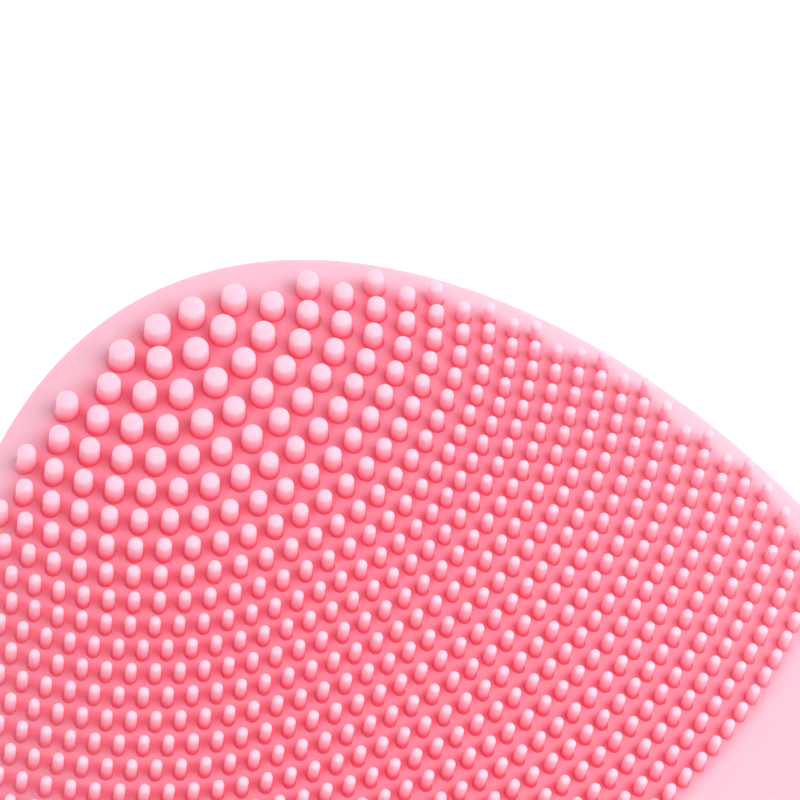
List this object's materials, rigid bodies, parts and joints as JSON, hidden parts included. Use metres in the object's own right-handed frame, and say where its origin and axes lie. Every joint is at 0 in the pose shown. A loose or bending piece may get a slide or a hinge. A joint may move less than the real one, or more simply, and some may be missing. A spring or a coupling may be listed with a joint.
{
  "type": "facial cleansing brush",
  "caption": "Egg-shaped palm-held silicone face brush: domed bristle face graded from thick to fine, ridged back, press buttons, eccentric vibration motor.",
  "frame": {"origin": "middle of the body's outline, on the plane that the back ridges rest on", "axes": "+Z out of the bristle face, +Y along the body towards the tip, where the thick bristles are, +X to the right"},
  "size_m": [0.0844, 0.11, 0.031],
  "materials": {
    "silicone": "satin",
    "bristles": "satin",
    "shell": "matte",
    "black_rubber": "matte",
    "steel": "satin",
    "board": "satin",
    "chips": "matte",
    "clear": "gloss",
    "battery_wrap": "satin",
    "red_wire": "satin",
    "blue_wire": "satin",
    "brass": "satin"
  },
  "bodies": {
    "body": {"front_skin": "silicone", "bristle_field": "bristles", "rear_skin": "silicone", "inner_front_shell": "shell", "inner_rear_shell": "shell", "seal_ring": "black_rubber", "shell_screws": "steel", "chassis": "shell", "circuit_board": "board", "board_chips": "chips", "tact_switches": "chips", "status_leds": "clear", "light_guide": "clear", "board_screws": "steel", "battery_cell": "battery_wrap", "battery_foam": "black_rubber", "battery_wires": "red_wire", "motor_can": "steel", "motor_dampers": "black_rubber", "motor_bracket": "shell", "motor_wires": "blue_wire", "charging_contacts": "brass", "contact_seals": "black_rubber", "charging_magnets": "steel"},
    "power": {"power_button": "silicone"},
    "plus": {"plus_button": "silicone"},
    "minus": {"minus_button": "silicone"},
    "rotor": {"motor_shaft": "steel", "eccentric_weight": "brass"}
  },
  "joints": [
    {"name": "power_press", "type": "slide", "parent": "body", "child": "power", "axis": [0, 0, -1], "range_m": [0, 0.0005], "stiffness_N_per_m": 300, "springref_m": -0.0005},
    {"name": "plus_press", "type": "slide", "parent": "body", "child": "plus", "axis": [0, 0, -1], "range_m": [0, 0.0005], "stiffness_N_per_m": 300, "springref_m": -0.0005},
    {"name": "minus_press", "type": "slide", "parent": "body", "child": "minus", "axis": [0, 0, -1], "range_m": [0, 0.0005], "stiffness_N_per_m": 300, "springref_m": -0.0005},
    {"name": "rotor_spin", "type": "hinge", "parent": "body", "child": "rotor", "pos_m": [0, 0.02, 0.015], "axis": [0, 1, 0], "continuous": true}
  ]
}
